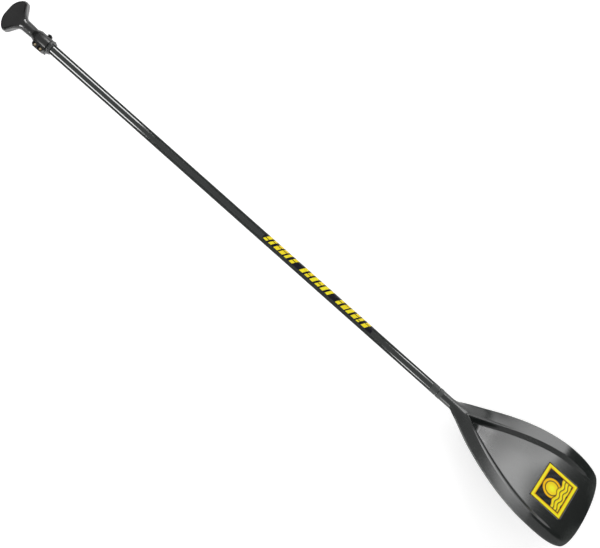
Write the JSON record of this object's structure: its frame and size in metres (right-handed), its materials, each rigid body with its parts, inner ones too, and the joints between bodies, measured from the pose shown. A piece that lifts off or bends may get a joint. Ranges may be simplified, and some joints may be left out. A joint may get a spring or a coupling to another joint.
{
  "type": "single blade paddle",
  "caption": "Stand-up paddle with a palm grip on a telescoping handle, a cam-lever clamp collar, a straight tube shaft and a canted dished blade.",
  "frame": {"origin": "on the shaft's axis, midway along the bare shaft, at the mount shaft_clip", "axes": "+X along the shaft from the grip towards the blade's tip, +Z out of the grip's flat front face, +Y across the grip away from the clamp's ears"},
  "size_m": [1.8798, 0.2171, 0.1425],
  "materials": {
    "grip_plastic": "satin black moulding",
    "neck_plastic": "fine-ringed matt black moulding",
    "rivet_metal": "plain",
    "handle_metal": "anodised",
    "bush_plastic": "natural",
    "clamp_plastic": "satin black",
    "steel": "plain",
    "nut_brass": "plain",
    "ring_plastic": "gloss black",
    "shaft_metal": "gloss black with yellow bars",
    "plug_foam": "closed-cell foam",
    "ferrule_plastic": "matte moulding",
    "blade_plastic": "glass-filled, fine grain",
    "badge_film": "printed film"
  },
  "bodies": {
    "shaft": {"shaft_tube": "shaft_metal", "clamp_collar": "clamp_plastic", "cam_plate": "steel", "collar_ring": "ring_plastic", "float_plug": "plug_foam", "ferrule": "ferrule_plastic", "blade": "blade_plastic", "blade_badge": "badge_film"},
    "slider": {"guide_bush": "bush_plastic"},
    "handle": {"grip_front_shell": "grip_plastic", "grip_back_shell": "grip_plastic", "grip_core": "neck_plastic", "grip_rivet": "rivet_metal", "inner_tube": "handle_metal", "tube_end_plug": "neck_plastic"},
    "clamp_bolts": {"lever_pin": "steel", "eye_bolt_a": "steel", "eye_bolt_b": "steel", "nut_a": "nut_brass", "nut_b": "nut_brass", "washer_a": "steel", "washer_b": "steel"},
    "lever": {"cam_lever": "clamp_plastic"}
  },
  "joints": [
    {"name": "handle_slide", "type": "slide", "parent": "shaft", "child": "slider", "axis": [-1, 0, 0], "range_m": [0, 0.2]},
    {"name": "handle_twist", "type": "hinge", "parent": "slider", "child": "handle", "pos_m": [-0.4, 0, 0], "axis": [1, 0, 0], "continuous": true},
    {"name": "lever_swing", "type": "hinge", "parent": "clamp_bolts", "child": "lever", "pos_m": [-0.6512, -0.0193, -0.0145], "axis": [-1, 0, 0], "range_deg": [0, 140]},
    {"name": "bolt_release", "type": "slide", "parent": "shaft", "child": "clamp_bolts", "axis": [0, 0, 1], "range_m": [0, 0.0012]}
  ],
  "couplings": [
    {"joint": "bolt_release", "follows": "lever_swing", "m_per_rad": 0.00049}
  ]
}
